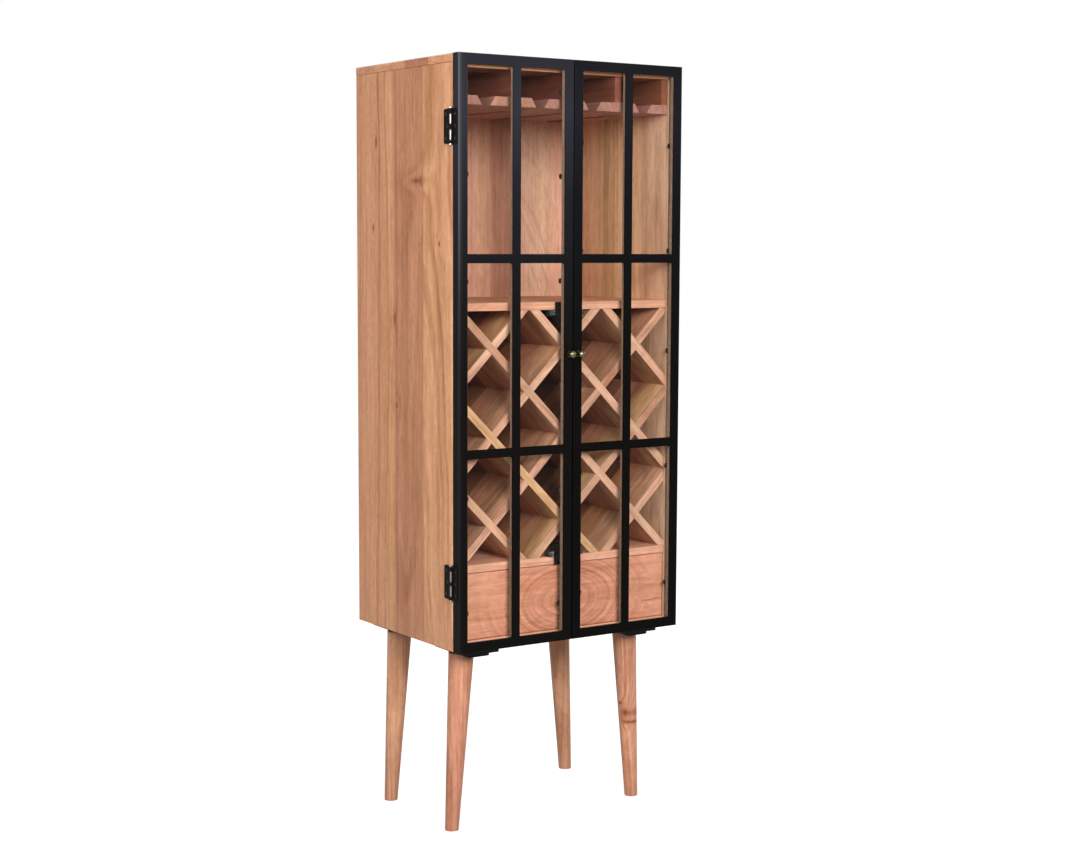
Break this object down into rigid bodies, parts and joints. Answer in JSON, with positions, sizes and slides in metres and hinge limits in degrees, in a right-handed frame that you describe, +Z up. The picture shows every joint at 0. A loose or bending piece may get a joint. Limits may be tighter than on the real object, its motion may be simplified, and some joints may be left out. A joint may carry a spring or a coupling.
{
  "type": "wine cabinet",
  "caption": "Tall wooden wine cabinet on turned legs, with glazed steel doors, a crossed bottle lattice, a rack for stemmed glasses and a drawer.",
  "frame": {"origin": "on the floor under the middle of the whole cabinet, knobs and hinges included", "axes": "+Z up, +X to the cabinet's right seen from the front, +Y towards the back"},
  "size_m": [0.6186, 0.4824, 1.73],
  "materials": {
    "acacia": "satin lacquered acacia boards",
    "inner_acacia": "satin lacquered acacia",
    "turned_acacia": "satin lacquered turned acacia",
    "black_pad": "matt black",
    "black_steel": "satin black powder coat",
    "bare_steel": "satin",
    "clear_glass": "clear float glass",
    "aged_brass": "aged brass",
    "catch_housing": "dark satin"
  },
  "bodies": {
    "case": {"back_panel": "acacia", "bottom_panel": "inner_acacia", "catch_lower": "catch_housing", "catch_upper": "catch_housing", "drawer_back": "inner_acacia", "drawer_bottom": "inner_acacia", "drawer_front": "acacia", "drawer_side_left": "inner_acacia", "drawer_side_right": "inner_acacia", "hinge_case_leaf_lower_left": "black_steel", "hinge_case_leaf_lower_right": "black_steel", "hinge_case_leaf_upper_left": "black_steel", "hinge_case_leaf_upper_right": "black_steel", "hinge_pin_lower_left": "bare_steel", "hinge_pin_lower_right": "bare_steel", "hinge_pin_upper_left": "bare_steel", "hinge_pin_upper_right": "bare_steel", "lattice_falling_1": "inner_acacia", "lattice_falling_2": "inner_acacia", "lattice_falling_3": "inner_acacia", "lattice_falling_4": "inner_acacia", "lattice_falling_5": "inner_acacia", "lattice_rising_1": "inner_acacia", "lattice_rising_2": "inner_acacia", "lattice_rising_3": "inner_acacia", "lattice_rising_4": "inner_acacia", "lattice_rising_5": "inner_acacia", "leg_back_left": "turned_acacia", "leg_back_right": "turned_acacia", "leg_bracket_back_left": "black_steel", "leg_bracket_back_right": "black_steel", "leg_bracket_front_left": "black_steel", "leg_bracket_front_right": "black_steel", "leg_front_left": "turned_acacia", "leg_front_right": "turned_acacia", "leg_pad_back_left": "black_pad", "leg_pad_back_right": "black_pad", "leg_pad_front_left": "black_pad", "leg_pad_front_right": "black_pad", "lower_shelf": "inner_acacia", "middle_shelf": "inner_acacia", "side_panel_left": "acacia", "side_panel_right": "acacia", "stem_rail_1": "inner_acacia", "stem_rail_2": "inner_acacia", "stem_rail_3": "inner_acacia", "stem_rail_4": "inner_acacia", "stem_rail_5": "inner_acacia", "top_panel": "acacia"},
    "door_left": {"door_frame_left": "black_steel", "door_glass_left": "clear_glass", "hinge_door_leaf_lower_left": "black_steel", "hinge_door_leaf_upper_left": "black_steel", "knob_left": "aged_brass"},
    "door_right": {"door_frame_right": "black_steel", "door_glass_right": "clear_glass", "hinge_door_leaf_lower_right": "black_steel", "hinge_door_leaf_upper_right": "black_steel", "knob_right": "aged_brass"}
  },
  "joints": [
    {"name": "door_left_hinge", "type": "hinge", "parent": "case", "child": "door_left", "pos_m": [-0.3048, -0.19225, 1.08], "axis": [0, 0, -1], "range_deg": [0, 180]},
    {"name": "door_right_hinge", "type": "hinge", "parent": "case", "child": "door_right", "pos_m": [0.3048, -0.19225, 1.08], "axis": [0, 0, 1], "range_deg": [0, 180]}
  ]
}
